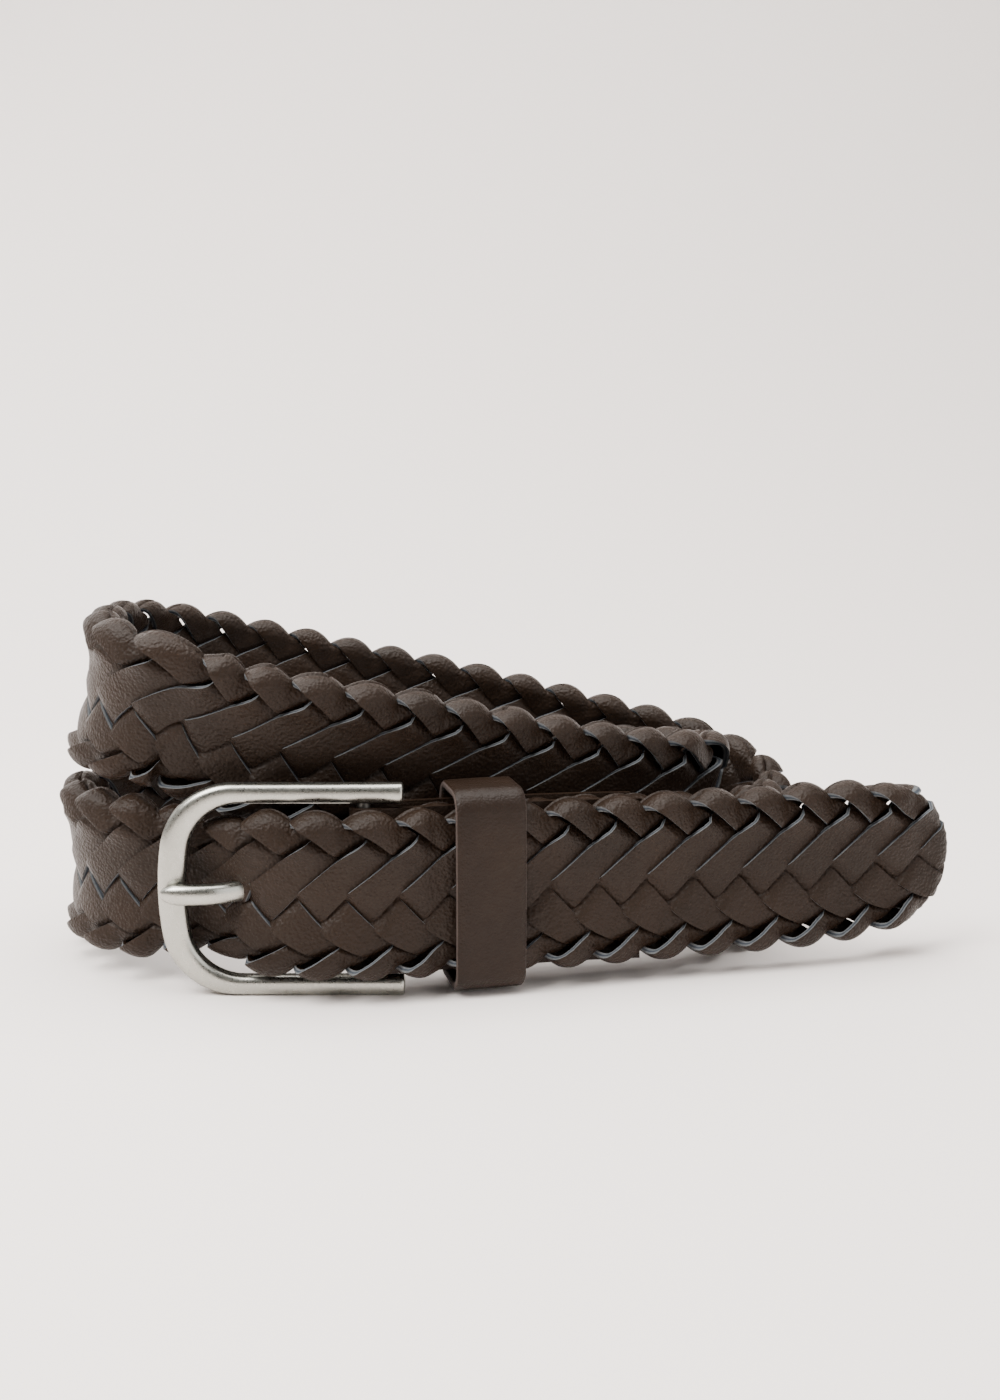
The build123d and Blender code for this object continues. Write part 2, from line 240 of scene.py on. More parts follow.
# A run with half a fold at either end, laid out flat: half its height, and its slope
HALF_TURN = FOLD_V + FOLD_MEAN_R * math.pi / 2
SLOPE = 2 * HALF_TURN / RUN
ANGLE = math.atan(SLOPE)

# Distance between a strand's sections, in its runs and round its folds
STEP = 1.4
FOLD_STEP = 0.7
FINE_STEP = 0.1

# A scallop is a fold on the upper edge; the prong's hole lies a few pitches before one
SCALLOP_X = -26.2
HOLE_PITCHES = 2.5
SCALLOP_S = path.near_x(SCALLOP_X, path.length * 0.7, path.length * 0.95)
PHASE = SCALLOP_S % PITCH
HOLE_S = SCALLOP_S - HOLE_PITCHES * PITCH
HOLE_LONG = 3.9
HOLE_HIGH = 2.1
HOLE_REACH = 14.0
HOLE_FADE = 8.0

# Rounded tip, where the strands turn over to the back
TIP_HOLD = path.near_x(86.0, path.length * 0.9, path.length)
TIP_END = path.length - 1.6
TIP_LONG = 20.0
TIP_HALF = 17.6
TIP_THINNING = 8.0
TUCK_R = 1.6
TUCK_TAIL = 3.0
BRAID_END = TIP_END + 8.0

# Where the strap is pressed, in the frame and twice in the keeper, and the shares by which its
# width and its thickness shrink there
FRAME_S = path.near_x(-62.0, path.length * 0.7, path.length)
FRAME_NARROWER = 0.05
FRAME_FLATTER = 0.22
KEEPER_TAIL_S = path.near_x(-2.1, path.length * 0.7, path.length)
KEEPER_TAB_S = path.near_x(-2.1, 0.0, path.length * 0.1)
KEEPER_NARROWER = 0.015
KEEPER_FLATTER = 0.27
TIP_FLATTER = 0.35
# It is pressed a little between the leaves of the tab, too
TAB_END = 62.0
TAB_FADE = 6.0
TAB_FLATTER = 0.12

# +1 where the strand is outside at the crossings 1 to 7 of a rising or a falling run
RISING = np.array([1, -1, -1, 1, 1, 1, -1], float)
FALLING = np.array([1, -1, -1, -1, 1, 1, -1], float)
LEVEL_SHARE = 0.16      # share of the way between two crossings that stays level at either end


def smooth(x):
    """0 to 1 with level ends."""
    x = np.clip(x, 0.0, 1.0)
    return x * x * (3 - 2 * x)


def layer_sign(u, table):
    """Smooth +-1 between the crossings, u counted in crossings along the run."""
    u = np.clip(u, 1.0, len(table)) - 1.0
    low = np.minimum(np.floor(u).astype(int), len(table) - 2)
    part = smooth((u - low - LEVEL_SHARE) / (1 - 2 * LEVEL_SHARE))
    return table[low] + (table[low + 1] - table[low]) * part


def wobble(s, seed, size, wave):
    """Slow random drift along s, the same each run."""
    rng = np.random.default_rng(seed)
    knots = np.arange(-wave * 2, path.length + wave * 3, wave)
    values = rng.uniform(-1, 1, len(knots)) * size
    k = np.clip((s - knots[0]) / wave, 0, len(knots) - 2.001)
    low = k.astype(int)
    return values[low] + (values[low + 1] - values[low]) * smooth(k - low)


# A strand's section: the points of one face, then the four of one cut edge, then the same again
FACE_POINTS = 13
FACE_SHARE = 0.93
CROWN = 0.2
EDGE = [(0.995, 0.72), (1.0, 0.26), (1.0, -0.26), (0.995, -0.72)]
OTHER_SIDE = FACE_POINTS + len(EDGE)
SHARP_AT = (FACE_POINTS, FACE_POINTS + 3, OTHER_SIDE + FACE_POINTS, OTHER_SIDE + FACE_POINTS + 3)
RAW_GREY = (FACE_POINTS, FACE_POINTS + 2, OTHER_SIDE + FACE_POINTS, OTHER_SIDE + FACE_POINTS + 2)
RAW_DARK = (FACE_POINTS + 1, OTHER_SIDE + FACE_POINTS + 1)


def strip_section():
    """Closed section of a cut strip 1 wide: crowned faces, square edges in three layers."""
    across = np.linspace(-FACE_SHARE, FACE_SHARE, FACE_POINTS)
    face = [(a, 1.0 - CROWN * (a / FACE_SHARE) ** 2) for a in across]
    half = [(a / 2, b * STRIP_THICK / 2) for a, b in face + EDGE]
    return np.array(half + [(-a, -b) for a, b in half])


def tip_outline(v):
    """How far along the strap the rounded tip reaches at each height."""
    return TIP_END - TIP_LONG * (1 - np.sqrt(np.clip(1 - (v / TIP_HALF) ** 2, 0.02, 1.0)))


def curl_amount(u, rising):
    """How far a strand's left edge lifts, as a share of its width, by crossings passed."""
    after_fold = smooth(np.where(rising, 1.5, 2.0) - u)
    before_fold = smooth(1.0 - np.abs(u - 6.1))
    more = np.where(rising, 0.18 * after_fold + 0.22 * before_fold, 0.22 * after_fold)
    return CURL + more


def section_places(start):
    """Places along the strap for a strand's sections, closer together round the folds."""
    fine = np.arange(BRAID_START - 6.0, BRAID_END + 6.0, FINE_STEP)
    height = np.mod(SLOPE * (fine - start), 2 * HALF_TURN) - HALF_TURN
    step = np.where(np.abs(height) > FOLD_V - 3.0, FOLD_STEP, STEP) * math.cos(ANGLE)
    count = np.cumsum(FINE_STEP / step)
    return np.interp(np.arange(1.0, count[-1]), count, fine)


def layer_offset(y, crossing, rising, radius, sign):
    """Offset of a strand's middle between its folds, from the strap's middle sheet."""
    to_fold = smooth((np.abs(y) - FOLD_V + FOLD_APPROACH) / FOLD_APPROACH)
    reach = LAYER + (radius - LAYER) * to_fold
    from_float = np.clip(crossing - np.where(rising, 5.0, 3.0), -1.5, 1.5)
    lift = FLOAT_LIFT * np.cos(from_float * math.pi / 3)
    lift += np.where(rising, 0.0, FALLING_LIFT * smooth(1.5 - np.abs(crossing - 5.4)))
    shallow = 1.0 - SHALLOWER * (sign < 0) * smooth(1.0 - np.abs(crossing - 6.65) / 0.75)
    return sign * (reach + lift) * shallow


def strand_points(index):
    """Distance, height and offset of one strand's vertices, as rows of sections."""
    start = PHASE + index * PITCH - STRANDS * PITCH
    s_line = section_places(start)
    drift = wobble(s_line, 40 + index, 0.2, 23.0)[:, None]
    wide = STRIP_WIDE + wobble(s_line, 80 + index, 0.18, 31.0)[:, None]
    section = strip_section()
    q = section[:, 0] * wide + drift
    z = np.repeat(section[None, :, 1], len(s_line), axis=0)

    # on the braid turned out flat: number of the run, height in it, crossings passed
    s = s_line[:, None] - q * math.sin(ANGLE)
    climbed = SLOPE * (s_line - start)[:, None] + q * math.cos(ANGLE)
    run = np.floor(climbed / (2 * HALF_TURN))
    y = climbed - run * 2 * HALF_TURN - HALF_TURN
    rising = (run % 2) == 0
    crossing = ((s - start) - run * RUN + (y + HALF_TURN) / SLOPE) / PITCH
    sign = np.where(rising, layer_sign(crossing, RISING), layer_sign(crossing, FALLING))

    # the fold at the nearer end of the run: fullest in the middle of the strand
    leaving = y > 0
    side = np.where(leaving, -1.0, 1.0)
    from_fold = (s - (start + (run + leaving) * RUN)) / (PITCH / 2)
    full = np.clip(1 - from_fold * from_fold, -0.15, 1)
    turn = np.clip((np.abs(y) - FOLD_V) / (HALF_TURN - FOLD_V), 0.0, 1.0) * math.pi / 2
    radius = FOLD_END_R + (FOLD_MIDDLE_R - FOLD_END_R) * full
    drop = (DROP + DROP_IN_FRONT * (0.5 + 0.5 * side * np.cos(turn))) * (1 - full)

    curl = curl_amount(crossing, rising) * wide * np.clip(q / wide + 0.5, 0, 1) ** 1.6
    curl = curl * np.where(side > 0, np.cos(turn), 1.0) * (sign > 0)

    near_edge = smooth((np.abs(y) - DROP_FROM) / (FOLD_V - DROP_FROM))
    v_run = y * (1 - near_edge * drop / FOLD_V)
    n_run = layer_offset(y, crossing, rising, radius, sign) + z + curl * smooth(sign)
    shell = radius + side * z
    v_fold = np.sign(y) * (FOLD_V - drop + shell * np.sin(turn))
    n_fold = side * shell * np.cos(turn) + np.where(side > 0, curl, 0.0)
    folded = np.abs(y) > FOLD_V
    v = np.where(folded, v_fold, v_run)
    n = np.where(folded, n_fold, n_run)

    v = np.where(rising, v, -v)
    low = np.clip((v + FOLD_V) / (FOLD_V + CROWDED_UP_TO), 0.0, 1.0)
    v = v - LOW_CROWDING * np.sin(math.pi * low) ** 2
    return s, v, n


def open_hole(s, v):
    """The strands part where the prong goes through."""
    ds = (s - HOLE_S) * HOLE_HIGH / HOLE_LONG
    r = np.sqrt(ds * ds + v * v) + 1e-6
    fade = smooth((HOLE_REACH - r) / HOLE_FADE)
    push = np.sqrt(r * r + HOLE_HIGH * HOLE_HIGH * fade) / r
    return HOLE_S + ds * push * HOLE_LONG / HOLE_HIGH, v * push


def add_mesh(name, points, faces, material_ids, materials):
    """Smooth-shaded mesh object from points in millimetres."""
    mesh = bpy.data.meshes.new(name)
    mesh.from_pydata((points * MM).tolist(), [], faces.tolist())
    for material in materials:
        mesh.materials.append(material)
    mesh.polygons.foreach_set("material_index", np.asarray(material_ids, np.int32))
    mesh.polygons.foreach_set("use_smooth", np.ones(len(faces), bool))
    mesh.update()
    obj = bpy.data.objects.new(name, mesh)
    bpy.context.scene.collection.objects.link(obj)
    return obj


def grid_faces(rows, columns):
    """Quads of a grid of sections, each section a loop of columns points."""
    r = np.arange(rows - 1)[:, None]
    c = np.arange(columns)[None, :]
    after = (c + 1) % columns
    quads = np.stack([r * columns + c, r * columns + after,
                      (r + 1) * columns + after, (r + 1) * columns + c], axis=-1)
    return quads.reshape(-1, 4)


def mark_sharp(obj, columns, at):
    """Sharp edges along the sections' points listed in at."""
    mesh = obj.data
    ends = np.zeros(len(mesh.edges) * 2, np.int32)
    mesh.edges.foreach_get("vertices", ends)
    ends = ends.reshape(-1, 2)
    spot = ends % columns
    sharp = (spot[:, 0] == spot[:, 1]) & np.isin(spot[:, 0], at)
    mark = mesh.attributes.new("sharp_edge", "BOOLEAN", "EDGE")
    mark.data.foreach_set("value", sharp)


def near(s, middle, half, fade):
    """1 within half of the middle, falling to 0 over the fade."""
    return smooth((half + fade - np.abs(s - middle)) / fade)


def braid_to_space(s, v, n):
    """Maps braid coordinates to space; at the rounded tip they turn over to the back."""
    share = np.interp(np.minimum(s, TIP_HOLD), path.s, path.width) / NOMINAL_WIDTH
    in_frame = near(s, FRAME_S, 8.0, 5.0)
    in_keeper = near(s, KEEPER_TAIL_S, 11.0, 4.0) + near(s, KEEPER_TAB_S, 12.0, 4.0)
    v = v * share * (1.0 - FRAME_NARROWER * in_frame - KEEPER_NARROWER * in_keeper)
    n = n * (1.0 - FRAME_FLATTER * in_frame - KEEPER_FLATTER * in_keeper)
    reach = tip_outline(v)
    past = np.maximum(s - reach, 0.0)
    n = n * (1.0 - TIP_FLATTER * smooth((s - TIP_HOLD) / TIP_THINNING))
    turn = np.clip(past / TUCK_R, 0.0, math.pi)
    ahead = (TUCK_R + n) * np.sin(turn) - np.maximum(past - math.pi * TUCK_R, 0.0)
    ahead = np.where(past > 0, ahead, 0.0)
    n = np.where(past > 0, -TUCK_R + (TUCK_R + n) * np.cos(turn), n)
    points = path.place(np.minimum(s, reach), v, n)
    return points + path.along[-1] * ahead[..., None]


def rows_before_tip(s, v):
    """Number of sections before the strand is tucked away behind the tip."""
    centre_s, centre_v = s.mean(axis=1), v.mean(axis=1)
    share = np.interp(np.minimum(centre_s, TIP_HOLD), path.s, path.width) / NOMINAL_WIDTH
    hidden = centre_s - tip_outline(centre_v * share) > math.pi * TUCK_R + TUCK_TAIL
    return int(np.argmax(hidden)) if hidden.any() else len(centre_s)


def make_strand(index, materials):
    """One braided strand, from inside the tab to where it is tucked behind the tip."""
    s, v, n = strand_points(index)
    first = int(np.argmax(s.mean(axis=1) > BRAID_START))
    last = rows_before_tip(s, v)
    s, v, n = s[first:last], v[first:last], n[first:last]
    s, v = open_hole(s, v)
    thin = 1.0 - TAB_FLATTER * smooth((TAB_END - s) / TAB_FADE)
    points = braid_to_space(s, v, n * thin)
    rows, columns = s.shape
    faces = grid_faces(rows, columns)
    column = np.tile(np.arange(columns), rows - 1)
    ids = np.where(np.isin(column, RAW_GREY), 1, np.where(np.isin(column, RAW_DARK), 2, 0))
    obj = add_mesh(f"braid_strand_{index + 1}", points.reshape(-1, 3), faces, ids, materials)
    cap_ends(obj, rows, columns)
    mark_sharp(obj, columns, SHARP_AT)
    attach(obj, "strap")
    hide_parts(f"strand_{index + 1}")


def cap_ends(obj, rows, columns):
    """Closes both ends of a tube of sections."""
    mesh = obj.data
    bm = bmesh.new()
    bm.from_mesh(mesh)
    bm.verts.ensure_lookup_table()
    bm.faces.new([bm.verts[i] for i in range(columns)][::-1])
    last = (rows - 1) * columns
    bm.faces.new([bm.verts[last + i] for i in range(columns)])
    bmesh.ops.recalc_face_normals(bm, faces=bm.faces)
    bm.to_mesh(mesh)
    bm.free()


# ---- materials ---------------------------------------------------------------


def new_material(name):
    """Empty principled material with its node tree and shader."""
    material = bpy.data.materials.new(name)
    material.use_nodes = True
    tree = material.node_tree
    tree.nodes.clear()
    out = tree.nodes.new("ShaderNodeOutputMaterial")
    shader = tree.nodes.new("ShaderNodeBsdfPrincipled")
    tree.links.new(shader.outputs[0], out.inputs["Surface"])
    return material, tree, shader


def coordinates(tree):
    return tree.nodes.new("ShaderNodeTexCoord").outputs["Object"]


def noise(tree, where, scale, detail=3.0, rough=0.5):
    node = tree.nodes.new("ShaderNodeTexNoise")
    node.inputs["Scale"].default_value = scale
    node.inputs["Detail"].default_value = detail
    node.inputs["Roughness"].default_value = rough
    tree.links.new(where, node.inputs["Vector"])
    return node.outputs["Fac"]


def pebbles(tree, where, scale):
    node = tree.nodes.new("ShaderNodeTexVoronoi")
    node.feature = "SMOOTH_F1"
    node.inputs["Scale"].default_value = scale
    tree.links.new(where, node.inputs["Vector"])
    return node.outputs["Distance"]


def ramp(tree, value, low, high, a=0.0, b=1.0):
    """The value mapped from low..high to a..b."""
    node = tree.nodes.new("ShaderNodeMapRange")
    node.inputs["From Min"].default_value = low
    node.inputs["From Max"].default_value = high
    node.inputs["To Min"].default_value = a
    node.inputs["To Max"].default_value = b
    tree.links.new(value, node.inputs["Value"])
    return node.outputs["Result"]


def blend_colour(tree, factor, a, b):
    node = tree.nodes.new("ShaderNodeMix")
    node.data_type = "RGBA"
    node.inputs["A"].default_value = (*a, 1)
    node.inputs["B"].default_value = (*b, 1)
    tree.links.new(factor, node.inputs["Factor"])
    return node.outputs["Result"]


def bump(tree, height, distance, strength=1.0, below=None):
    """Surface normal bumped by the height, on top of the bump below it."""
    node = tree.nodes.new("ShaderNodeBump")
    node.inputs["Strength"].default_value = strength
    node.inputs["Distance"].default_value = distance
    tree.links.new(height, node.inputs["Height"])
    if below is not None:
        tree.links.new(below, node.inputs["Normal"])
    return node.outputs["Normal"]


def leather(name, dark, light, grain, depth, rough):
    """Dyed grain leather: pebbles of the given size in mm and a soft drift of colour."""
    material, tree, shader = new_material(name)
    where = coordinates(tree)
    drift = ramp(tree, noise(tree, where, 55.0, 4.0), 0.35, 0.68)
    colour = blend_colour(tree, drift, dark, light)
    tree.links.new(colour, shader.inputs["Base Color"])
    shine = ramp(tree, noise(tree, where, 900.0, 4.0, 0.65), 0.3, 0.75, rough - 0.07, rough + 0.09)
    tree.links.new(shine, shader.inputs["Roughness"])
    shader.inputs["Specular IOR Level"].default_value = 0.15
    pebble = pebbles(tree, where, 1.0 / (grain * MM))
    fine = noise(tree, where, 2.2 / (grain * MM), 5.0, 0.7)
    soft = noise(tree, where, 0.16 / (grain * MM), 3.0, 0.5)
    normal = bump(tree, soft, 0.35 * MM, 0.6)
    normal = bump(tree, pebble, depth * MM, 1.0, normal)
    normal = bump(tree, fine, 0.5 * depth * MM, 0.7, normal)
    tree.links.new(normal, shader.inputs["Normal"])
    return material


def raw_edge(name, colour, darker):
    """Matt fibres, for cut edges and thread."""
    material, tree, shader = new_material(name)
    where = coordinates(tree)
    tone = ramp(tree, noise(tree, where, 1500.0, 5.0, 0.7), 0.3, 0.7)
    tree.links.new(blend_colour(tree, tone, darker, colour), shader.inputs["Base Color"])
    shader.inputs["Roughness"].default_value = 0.85
    fibre = noise(tree, where, 2600.0, 4.0, 0.7)
    tree.links.new(bump(tree, fibre, 0.12 * MM, 0.8), shader.inputs["Normal"])
    return material


def metal(name, colour, rough, scratch=1.0):
    """Satin metal with fine random scratches."""
    material, tree, shader = new_material(name)
    where = coordinates(tree)
    shader.inputs["Metallic"].default_value = 1.0
    tone = ramp(tree, noise(tree, where, 260.0, 5.0, 0.6), 0.3, 0.7)
    paler = tuple(min(1.0, c * 1.08) for c in colour)
    tree.links.new(blend_colour(tree, tone, colour, paler), shader.inputs["Base Color"])
    grain = noise(tree, where, 1500.0, 5.0, 0.7)
    roughness = ramp(tree, grain, 0.3, 0.7, rough - 0.05, rough + 0.06)
    tree.links.new(roughness, shader.inputs["Roughness"])
    tree.links.new(bump(tree, grain, 0.006 * MM, 0.4 * scratch), shader.inputs["Normal"])
    return material


STRAP_LEATHER = leather("strap_leather", (0.0136, 0.0078, 0.0047), (0.0186, 0.0106, 0.0065),
                        grain=0.62, depth=0.26, rough=0.40)
TAB_LEATHER = leather("tab_leather", (0.0125, 0.0070, 0.0044), (0.0180, 0.0104, 0.0065),
                      grain=0.42, depth=0.12, rough=0.40)
RAW_OUTSIDE = raw_edge("raw_edge_outside", (0.112, 0.118, 0.122), (0.060, 0.064, 0.068))
RAW_CORE = raw_edge("raw_edge_core", (0.030, 0.038, 0.050), (0.014, 0.018, 0.026))
NICKEL = metal("satin_nickel", (0.355, 0.352, 0.320), 0.29, 1.6)
# painted shade: the bar's metal is far darker than the nickel, standing in for the shadow in the
# gap between the upper leg and the strap
BAR_METAL_PAINTED_SHADE = metal("bar_metal_painted_shade", (0.14, 0.135, 0.125), 0.4)
STAPLE_METAL = metal("staple_metal", (0.45, 0.43, 0.40), 0.4)
THREAD = raw_edge("thread", (0.050, 0.032, 0.026), (0.030, 0.019, 0.015))

for lane in range(STRANDS):
    make_strand(lane, [STRAP_LEATHER, RAW_OUTSIDE, RAW_CORE])

# ---- buckle ------------------------------------------------------------------
LEG_END = -19.5
HIGH = 44.4
LEG = 4.2               # height of a leg
RIM = 5.8               # width of the upright part
BACK = 5.4
OUTER_CORNER = 15.2
INNER_CORNER = 11.0
BOW = math.radians(8.0)  # the upright part is an arc of twice this angle
FRAME_STOPS = (34, 40, 33)  # points along a leg, round a corner and down the upright part
BAR_SQUARENESS = 2.7
LEG_BEVEL = 0.35


def bowed_line(far, low, r):
    """Points of the U's edge from the lower leg's end round to the upper one's."""
    in_leg, in_corner, in_rim = FRAME_STOPS
    middle = HIGH / 2
    big = (middle - low - r + r * math.sin(BOW)) / math.sin(BOW)
    cx = far + r * math.cos(BOW) + big * (1 - math.cos(BOW))
    line = []
    for k in np.linspace(0, 1, in_leg, endpoint=False):
        line.append((LEG_END + (cx - LEG_END) * k, low))
    for k in np.linspace(0, 1, in_corner, endpoint=False):
        a = math.radians(270) + (math.pi + BOW - math.radians(270)) * k
        line.append((cx + r * math.cos(a), low + r + r * math.sin(a)))
    for k in np.linspace(-1, 1, in_rim):
        a = math.pi - BOW * k
        line.append((far + big + big * math.cos(a), middle + big * math.sin(a)))
    upper = [(x, HIGH - z) for x, z in line[:in_leg + in_corner]]
    return np.array(line + upper[::-1])


def ring_section(count, power):
    """Unit superellipse, for softly squared bars."""
    a = np.linspace(0, 2 * math.pi, count, endpoint=False)
    c, s = np.cos(a), np.sin(a)
    x = np.sign(c) * np.abs(c) ** (2 / power)
    y = np.sign(s) * np.abs(s) ** (2 / power)
    return np.stack([x, y], axis=1)


def make_frame_piece():
    """Bent bar between the U's outer and inner edges, with two open legs."""
    outer = bowed_line(LEFT, 0.0, OUTER_CORNER)
    inner = bowed_line(LEFT + RIM, LEG, INNER_CORNER)
    ring = ring_section(28, BAR_SQUARENESS)
    rows = []
    middle = (outer + inner) / 2
    half = (outer - inner) / 2
    deep = (BACK - FRONT) / 2
    for m, h in zip(middle, half):
        x = m[0] + h[0] * ring[:, 0]
        z = m[1] + h[1] * ring[:, 0]
        y = (FRONT + BACK) / 2 + deep * ring[:, 1]
        rows.append(np.stack([x, y, z], axis=1))
    rows = np.array(rows)
    rows = close_ends(rows, np.array([1.0, 0.0, 0.0]), LEG_BEVEL)
    tube_piece("buckle_frame_piece", rows, NICKEL, "buckle", "buckle_frame")


def close_ends(rows, direction, bevel):
    """Adds flat, slightly bevelled ends to a tube of sections."""
    steps = ((1.0, -bevel), (0.93, -0.25 * bevel), (0.82, 0.0), (0.5, 0.0), (0.02, 0.0))

    def end(section, push):
        centre = section.mean(axis=0)
        return [centre + (section - centre) * shrink + push * move for shrink, move in steps]

    first = end(rows[0], direction)
    last = end(rows[-1], direction)
    return np.array(first[::-1] + list(rows[1:-1]) + last)


def tube_piece(name, rows, material, body, node):
    """Capped tube of sections in place of a CAD node."""
    count, columns, _ = rows.shape
    faces = grid_faces(count, columns)
    points = rows.reshape(-1, 3) + SHIFT
    obj = add_mesh(name, points, faces, np.zeros(len(faces)), [material])
    cap_ends(obj, count, columns)
    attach(obj, body)
    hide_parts(node)


# Middle of the prong seen from above, from its eye to the rounding of its tip
PRONG_LINE = np.array([
    (-29.9, 4.3), (-34.0, 5.0), (-40.0, 5.6), (-46.0, 5.5), (-50.5, 3.9),
    (-54.0, 1.5), (-58.0, -0.3), (-62.5, -0.8), (-66.5, -0.45),
])
PRONG_TIP = np.array([-68.4, -0.38])
PRONG_ROUND_X = -64.6
PRONG_Z = 22.2
PRONG_THICK = 1.62      # half of its size, as the three below
PRONG_TALL = 2.1
EYE_THICK = 0.6
EYE_TALL = 2.0
EYE_R = 2.25
BAR_X = -27.5
BAR_Y = 3.9


def make_prong_piece():
    """Flattened bar with a rounded tip and an eye bent round the buckle's bar."""
    points = np.zeros((len(PRONG_LINE), 5))
    points[:, :2] = PRONG_LINE
    line = catmull(points, 10)[:, :2]
    extra = [line[-1] + (PRONG_TIP - line[-1]) * k for k in (0.25, 0.5, 0.7, 0.85, 0.95, 0.995)]
    line = np.vstack([line, extra])
    eye = [(BAR_X + EYE_R * math.cos(a), BAR_Y + EYE_R * math.sin(a))
           for a in np.radians(np.arange(-150, 171, 12))]
    line = np.vstack([np.array(eye), line])
    ring = ring_section(20, 2.4)
    direction = np.gradient(line, axis=0)
    direction /= np.linalg.norm(direction, axis=1)[:, None]
    side = np.stack([-direction[:, 1], direction[:, 0]], axis=1)
    rows = []
    for i, (p, n) in enumerate(zip(line, side)):
        past = np.clip((PRONG_ROUND_X - p[0]) / (PRONG_ROUND_X - PRONG_TIP[0]), 0, 1)
        if i <= len(eye):
            past = 0.0
        round_off = math.sqrt(max(1 - past ** 2, 0.0004))
        if i < len(eye):
            thick, tall = EYE_THICK, EYE_TALL
        else:
            grow = smooth((i - len(eye)) / 8.0)
            thick, tall = EYE_THICK + (PRONG_THICK - EYE_THICK) * grow, PRONG_TALL
        x = p[0] + n[0] * ring[:, 0] * thick * round_off
        y = p[1] + n[1] * ring[:, 0] * thick * round_off
        z = PRONG_Z + ring[:, 1] * tall * round_off
        rows.append(np.stack([x, y, z], axis=1))
    tube_piece("prong_piece", np.array(rows), NICKEL, "prong", "prong")


make_frame_piece()
make_prong_piece()

# ---- keeper ------------------------------------------------------------------
KEEPER_X = -2.6
KEEPER_WIDE = 14.5
KEEPER_THICK = 1.8
KEEPER_LOW = 1.0
KEEPER_TOP = 43.2
KEEPER_FRONT = 2.6      # inner depths in front of and behind the tail's middle
KEEPER_BACK = 10.8
KEEPER_ROUND = 4.6
KEEPER_BOW = 0.28       # how far the front side bows outwards
TAIL_SLOPE = np.array([12.0, 3.0, 0.0])
CORNER_STEPS = 12
SIDE_STEPS = 14


def make_keeper_piece():
    """Leather loop: crowned strip, bowed a little outwards in front."""
    s = path.near_x(KEEPER_X, HOLE_S, path.length)
    base = path.look(path.centre, np.array([s]))[0] - SHIFT
    along = TAIL_SLOPE / np.linalg.norm(TAIL_SLOPE)
    back = np.array([-along[1], along[0], 0.0])
    t = KEEPER_THICK
    low, top = KEEPER_LOW, KEEPER_TOP
    front, rear = -KEEPER_FRONT - t, KEEPER_BACK + t
    loop = rounded_loop(front + t / 2, rear - t / 2, low + t / 2, top - t / 2,
                        KEEPER_ROUND - t / 2)
    profile = keeper_section()
    rows = []
    for b, z, nb, nz in loop:
        bow = 0.0
        if b < 0:
            k = (z - (low + top) / 2) / ((top - low) / 2)
            bow = -KEEPER_BOW * (1 - k * k)
        p = profile[:, 0][:, None] * along
        off = profile[:, 1][:, None]
        centre = np.array([base[0], base[1], 0.0]) + back * (b + bow) + np.array([0, 0, z])
        rows.append(centre + p + off * (back * nb + np.array([0, 0, nz])))
    rows = np.array(rows)
    count, columns, _ = rows.shape
    faces = ring_faces(count, columns)
    column = np.tile(np.arange(columns), count)
    ids = np.where(np.isin(column, KEEPER_RAW), 1, 0)
    obj = add_mesh("keeper_piece", rows.reshape(-1, 3) + SHIFT, faces, ids, [TAB_LEATHER, THREAD])
    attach(obj, "keeper")
    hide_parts("keeper_loop")


def rounded_loop(front, rear, low, top, r):
    """Points (depth, height, normal) of a rounded rectangle, outward normals."""
    corners = [(rear - r, top - r, 0), (front + r, top - r, 90),
               (front + r, low + r, 180), (rear - r, low + r, 270)]
    out = []
    for i, (cb, cz, start) in enumerate(corners):
        for k in range(CORNER_STEPS + 1):
            a = math.radians(start + 90 * k / CORNER_STEPS)
            out.append((cb + r * math.cos(a), cz + r * math.sin(a), math.cos(a), math.sin(a)))
        end_b, end_z, normal_b, normal_z = out[-1]
        next_b, next_z, next_start = corners[(i + 1) % 4]
        turned = math.radians(next_start)
        next_b += r * math.cos(turned)
        next_z += r * math.sin(turned)
        for k in range(1, SIDE_STEPS):
            f = k / SIDE_STEPS
            out.append((end_b + (next_b - end_b) * f, end_z + (next_z - end_z) * f,
                        normal_b, normal_z))
    return out


def keeper_section():
    """Closed section of the keeper's strip: crowned outer face, bevelled edges, flat inside."""
    outer = [(-0.975, 0.62), (-0.94, 0.9), (-0.8, 1.0), (-0.4, 1.04), (0.0, 1.05), (0.4, 1.04),
             (0.8, 1.0), (0.94, 0.9), (0.975, 0.62)]
    right = [(1.0, 0.3), (1.0, -0.3), (0.975, -0.8)]
    inner = [(0.9, -1.0), (0.0, -1.0), (-0.9, -1.0)]
    left = [(-0.975, -0.8), (-1.0, -0.3), (-1.0, 0.3)]
    half = np.array([KEEPER_WIDE / 2, KEEPER_THICK / 2])
    return np.array(outer + right + inner + left) * half


# Columns of the keeper's section whose faces are its cut edges
KEEPER_RAW = (8, 9, 10, 15, 16, 17)


def ring_faces(rows, columns):
    """Quads of sections that join up in a ring."""
    r = np.arange(rows)[:, None]
    c = np.arange(columns)[None, :]
    after = (c + 1) % columns
    nxt = (r + 1) % rows
    quads = np.stack([r * columns + c, nxt * columns + c,
                      nxt * columns + after, r * columns + after], axis=-1)
    return quads.reshape(-1, 4)


make_keeper_piece()

# ---- CAD pieces that stay ----------------------------------------------------
# the buckle bar gets the metal darkened as painted shade
for node, material in (("buckle_bar", BAR_METAL_PAINTED_SHADE), ("tab", TAB_LEATHER), ("tab_stitching", THREAD),
                       ("keeper_staple", STAPLE_METAL)):
    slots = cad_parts[node].data.materials
    if len(slots) == 0:
        slots.append(material)
    for i in range(len(slots)):
        slots[i] = material

